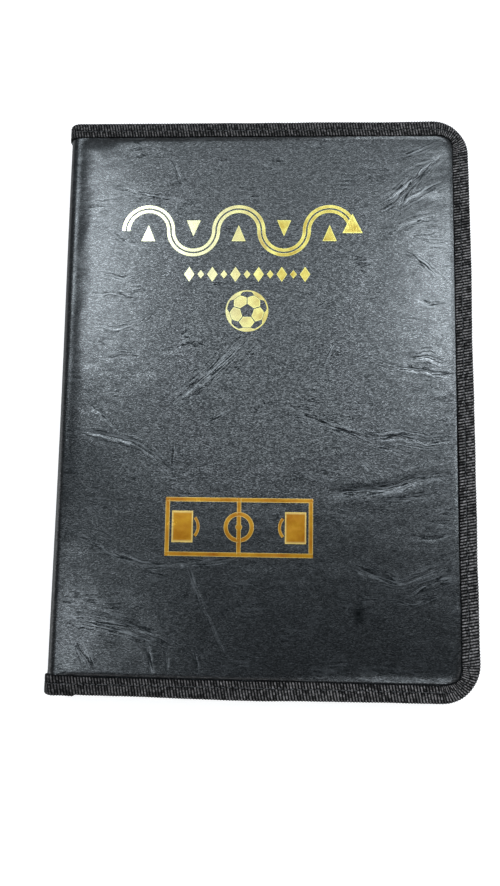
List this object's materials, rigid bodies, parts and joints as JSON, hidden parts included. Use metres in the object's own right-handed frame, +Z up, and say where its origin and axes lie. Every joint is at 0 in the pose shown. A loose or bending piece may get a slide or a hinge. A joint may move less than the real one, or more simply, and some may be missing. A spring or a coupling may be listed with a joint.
{
  "type": "tactics board folder",
  "caption": "Zip-round black leather-look folder with bound edges that opens flat to two magnetic football pitch boards, with player magnets and a marker in elastic loops on its spine.",
  "frame": {"origin": "centre of the closed folder's outline, on the table under the back cover", "axes": "+X from the spine to the zip side, +Y to the top of the page, +Z up out of the front cover"},
  "size_m": [0.245, 0.342, 0.028],
  "materials": {
    "cover_leather": "crinkle grain, satin sheen",
    "foam": "soft foam",
    "card": "grey board",
    "lining_cloth": "plain woven",
    "binding_tape": "ribbed woven",
    "zip_tape": "woven",
    "zip_teeth": "moulded",
    "steel": "white coated sheet",
    "pitch_print": "gloss printed film",
    "frame_leather": "fine grain",
    "elastic": "elastic webbing",
    "zip_metal": "black nickel",
    "marker_plastic": "gloss",
    "marker_black": "gloss",
    "nib_fibre": "fibre",
    "felt": "felt",
    "magnet_red": "gloss",
    "magnet_blue": "gloss",
    "magnet_ball": "gloss"
  },
  "bodies": {
    "back_cover": {"back_skin": "cover_leather", "back_padding": "foam", "back_stiffener": "card", "back_lining": "lining_cloth", "back_binding": "binding_tape", "back_zip_tape": "zip_tape", "back_zip_teeth": "zip_teeth", "back_steel_sheet": "steel", "back_pitch_film": "pitch_print", "back_board_frame": "frame_leather"},
    "spine": {"spine_skin": "cover_leather", "spine_stiffener": "card", "spine_lining": "lining_cloth", "spine_binding": "binding_tape", "lower_fold_leather": "cover_leather", "upper_fold_leather": "cover_leather", "lower_fold_binding": "binding_tape", "upper_fold_binding": "binding_tape", "pen_loops": "elastic"},
    "front_cover": {"front_skin": "cover_leather", "front_padding": "foam", "front_stiffener": "card", "front_lining": "lining_cloth", "front_binding": "binding_tape", "front_zip_tape": "zip_tape", "front_zip_teeth": "zip_teeth", "front_steel_sheet": "steel", "front_pitch_film": "pitch_print", "front_board_frame": "frame_leather"},
    "slider": {"zip_slider": "zip_metal"},
    "pull_tab": {"zip_pull_tab": "zip_metal"},
    "marker": {"marker_barrel": "marker_plastic", "marker_nib": "nib_fibre", "marker_tail_plug": "marker_black"},
    "cap": {"marker_cap": "marker_black", "marker_cap_eraser": "felt"},
    "ball": {"magnet_ball": "magnet_ball"},
    "red_01": {"magnet_red_01": "magnet_red"},
    "red_02": {"magnet_red_02": "magnet_red"},
    "red_03": {"magnet_red_03": "magnet_red"},
    "red_04": {"magnet_red_04": "magnet_red"},
    "red_05": {"magnet_red_05": "magnet_red"},
    "red_06": {"magnet_red_06": "magnet_red"},
    "red_07": {"magnet_red_07": "magnet_red"},
    "red_08": {"magnet_red_08": "magnet_red"},
    "red_09": {"magnet_red_09": "magnet_red"},
    "red_10": {"magnet_red_10": "magnet_red"},
    "red_11": {"magnet_red_11": "magnet_red"},
    "blue_01": {"magnet_blue_01": "magnet_blue"},
    "blue_02": {"magnet_blue_02": "magnet_blue"},
    "blue_03": {"magnet_blue_03": "magnet_blue"},
    "blue_04": {"magnet_blue_04": "magnet_blue"},
    "blue_05": {"magnet_blue_05": "magnet_blue"},
    "blue_06": {"magnet_blue_06": "magnet_blue"},
    "blue_07": {"magnet_blue_07": "magnet_blue"},
    "blue_08": {"magnet_blue_08": "magnet_blue"},
    "blue_09": {"magnet_blue_09": "magnet_blue"},
    "blue_10": {"magnet_blue_10": "magnet_blue"},
    "blue_11": {"magnet_blue_11": "magnet_blue"}
  },
  "joints": [
    {"name": "back_fold", "type": "hinge", "parent": "back_cover", "child": "spine", "pos_m": [-0.11955, 0, 0.00405], "axis": [0, -1, 0], "range_deg": [0, 90], "deforming": ["lower_fold_leather", "lower_fold_binding"]},
    {"name": "front_fold", "type": "hinge", "parent": "spine", "child": "front_cover", "pos_m": [-0.11955, 0, 0.02395], "axis": [0, -1, 0], "range_deg": [0, 90], "deforming": ["upper_fold_leather", "upper_fold_binding"]},
    {"name": "chain_run", "type": "slide", "parent": "back_cover", "child": "slider", "axis": [1, 0, 0], "range_m": [0, 0.183], "deforming": ["back_zip_teeth", "front_zip_teeth"]},
    {"name": "pull_tab_flip", "type": "hinge", "parent": "slider", "child": "pull_tab", "pos_m": [-0.0882, -0.1666, 0.014], "axis": [0, 0, -1], "range_deg": [0, 180]},
    {"name": "marker_pull", "type": "slide", "parent": "spine", "child": "marker", "axis": [0, 1, 0], "range_m": [0, 0.105]},
    {"name": "cap_pull", "type": "slide", "parent": "marker", "child": "cap", "axis": [0, 1, 0], "range_m": [0, 0.03]},
    {"name": "slide_ball", "type": "slide", "parent": "back_cover", "child": "ball", "axis": [1, 0, 0], "range_m": [-0.084, 0.084]},
    {"name": "slide_red_01", "type": "slide", "parent": "back_cover", "child": "red_01", "axis": [1, 0, 0], "range_m": [0, 0.169]},
    {"name": "slide_red_02", "type": "slide", "parent": "back_cover", "child": "red_02", "axis": [1, 0, 0], "range_m": [0, 0.169]},
    {"name": "slide_red_03", "type": "slide", "parent": "back_cover", "child": "red_03", "axis": [1, 0, 0], "range_m": [0, 0.169]},
    {"name": "slide_red_04", "type": "slide", "parent": "back_cover", "child": "red_04", "axis": [1, 0, 0], "range_m": [0, 0.169]},
    {"name": "slide_red_05", "type": "slide", "parent": "back_cover", "child": "red_05", "axis": [1, 0, 0], "range_m": [0, 0.169]},
    {"name": "slide_red_06", "type": "slide", "parent": "back_cover", "child": "red_06", "axis": [1, 0, 0], "range_m": [0, 0.169]},
    {"name": "slide_red_07", "type": "slide", "parent": "back_cover", "child": "red_07", "axis": [1, 0, 0], "range_m": [0, 0.169]},
    {"name": "slide_red_08", "type": "slide", "parent": "back_cover", "child": "red_08", "axis": [1, 0, 0], "range_m": [0, 0.169]},
    {"name": "slide_red_09", "type": "slide", "parent": "back_cover", "child": "red_09", "axis": [1, 0, 0], "range_m": [0, 0.169]},
    {"name": "slide_red_10", "type": "slide", "parent": "back_cover", "child": "red_10", "axis": [1, 0, 0], "range_m": [0, 0.169]},
    {"name": "slide_red_11", "type": "slide", "parent": "back_cover", "child": "red_11", "axis": [1, 0, 0], "range_m": [0, 0.169]},
    {"name": "slide_blue_01", "type": "slide", "parent": "back_cover", "child": "blue_01", "axis": [-1, 0, 0], "range_m": [0, 0.169]},
    {"name": "slide_blue_02", "type": "slide", "parent": "back_cover", "child": "blue_02", "axis": [-1, 0, 0], "range_m": [0, 0.169]},
    {"name": "slide_blue_03", "type": "slide", "parent": "back_cover", "child": "blue_03", "axis": [-1, 0, 0], "range_m": [0, 0.169]},
    {"name": "slide_blue_04", "type": "slide", "parent": "back_cover", "child": "blue_04", "axis": [-1, 0, 0], "range_m": [0, 0.169]},
    {"name": "slide_blue_05", "type": "slide", "parent": "back_cover", "child": "blue_05", "axis": [-1, 0, 0], "range_m": [0, 0.169]},
    {"name": "slide_blue_06", "type": "slide", "parent": "back_cover", "child": "blue_06", "axis": [-1, 0, 0], "range_m": [0, 0.169]},
    {"name": "slide_blue_07", "type": "slide", "parent": "back_cover", "child": "blue_07", "axis": [-1, 0, 0], "range_m": [0, 0.169]},
    {"name": "slide_blue_08", "type": "slide", "parent": "back_cover", "child": "blue_08", "axis": [-1, 0, 0], "range_m": [0, 0.169]},
    {"name": "slide_blue_09", "type": "slide", "parent": "back_cover", "child": "blue_09", "axis": [-1, 0, 0], "range_m": [0, 0.169]},
    {"name": "slide_blue_10", "type": "slide", "parent": "back_cover", "child": "blue_10", "axis": [-1, 0, 0], "range_m": [0, 0.169]},
    {"name": "slide_blue_11", "type": "slide", "parent": "back_cover", "child": "blue_11", "axis": [-1, 0, 0], "range_m": [0, 0.169]}
  ]
}
